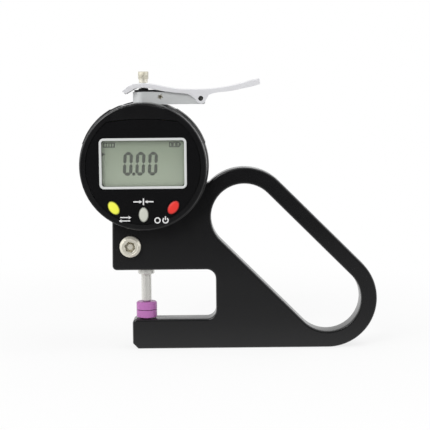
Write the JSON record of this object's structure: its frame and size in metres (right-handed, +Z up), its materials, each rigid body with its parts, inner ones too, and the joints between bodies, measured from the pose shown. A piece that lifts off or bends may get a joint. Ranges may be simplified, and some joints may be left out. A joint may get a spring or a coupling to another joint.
{
  "type": "digital thickness gauge",
  "caption": "Plate frame with a handle loop, a round digital head with buttons, a lifting lever and two flat contacts.",
  "frame": {"origin": "underside of the frame, straight below the spindle, in the middle of the plate's thickness", "axes": "+X to the handle loop, +Y away from the reader of the display, +Z up along the spindle"},
  "size_m": [0.1426, 0.0256, 0.1338],
  "materials": {
    "black_paint": "satin",
    "black_plastic": "matt",
    "gloss_label": "gloss",
    "white_plastic": "satin",
    "clear_lens": "gloss",
    "lcd_glass": "satin",
    "yellow_rubber": "matt",
    "grey_rubber": "matt",
    "red_rubber": "matt",
    "board_green": "satin",
    "chip_black": "matt",
    "silicone": "matt",
    "steel": "satin",
    "nickel": "gloss",
    "brass": "satin",
    "aluminium": "satin",
    "purple_ceramic": "satin",
    "spring_steel": "satin"
  },
  "bodies": {
    "frame": {"frame": "black_paint", "clamp_screw": "steel", "anvil_stud": "steel", "anvil_disc": "purple_ceramic", "anvil_set_screw": "steel", "body_shell": "black_plastic", "front_bezel": "black_plastic", "face_plate": "gloss_label", "window_trim": "white_plastic", "display_window": "clear_lens", "lcd_panel": "lcd_glass", "lcd_connector_upper": "silicone", "lcd_connector_lower": "silicone", "main_board": "board_green", "controller_chip": "chip_black", "button_pad": "silicone", "battery_contact_centre": "brass", "battery_contact_edge": "brass", "rim_cover_right": "black_plastic", "rim_cover_left": "black_plastic", "rear_cover": "black_plastic", "rear_cover_screw_1": "steel", "rear_cover_screw_2": "steel", "rear_cover_screw_3": "steel", "rear_cover_screw_4": "steel", "stem": "steel", "stem_bush": "brass", "upper_stem": "steel", "upper_bush": "black_plastic", "guide_pin": "steel", "return_spring": "spring_steel", "lever_bracket": "aluminium", "bracket_screw": "steel", "lever_pin": "steel"},
    "spindle": {"spindle": "steel", "spindle_knob": "nickel", "contact_stud": "steel", "contact_disc": "purple_ceramic", "slider_block": "brass", "slider_screw": "steel", "scale_plate": "board_green"},
    "lever": {"lever": "aluminium"},
    "yellow_button": {"yellow_button": "yellow_rubber"},
    "grey_button": {"grey_button": "grey_rubber"},
    "red_button": {"red_button": "red_rubber"},
    "battery_drawer": {"battery_drawer": "black_plastic", "battery_cell": "steel"}
  },
  "joints": [
    {"name": "spindle_slide", "type": "slide", "parent": "frame", "child": "spindle", "axis": [0, 0, 1], "range_m": [0, 0.0127], "stiffness_N_per_m": 60, "springref_m": -0.01, "deforming": ["return_spring"]},
    {"name": "lever_pivot", "type": "hinge", "parent": "frame", "child": "lever", "pos_m": [0.0275, 0, 0.1208], "axis": [0, 1, 0], "range_deg": [0, 24.4]},
    {"name": "yellow_button_press", "type": "slide", "parent": "frame", "child": "yellow_button", "axis": [0, 1, 0], "range_m": [0, 0.0008], "stiffness_N_per_m": 300, "springref_m": -0.001},
    {"name": "grey_button_press", "type": "slide", "parent": "frame", "child": "grey_button", "axis": [0, 1, 0], "range_m": [0, 0.0008], "stiffness_N_per_m": 300, "springref_m": -0.001},
    {"name": "red_button_press", "type": "slide", "parent": "frame", "child": "red_button", "axis": [0, 1, 0], "range_m": [0, 0.0008], "stiffness_N_per_m": 300, "springref_m": -0.001},
    {"name": "drawer_slide", "type": "slide", "parent": "frame", "child": "battery_drawer", "axis": [0, 0, 1], "range_m": [0, 0.015]}
  ],
  "couplings": [
    {"joint": "lever_pivot", "follows": "spindle_slide", "rad_per_m": 33.5}
  ]
}
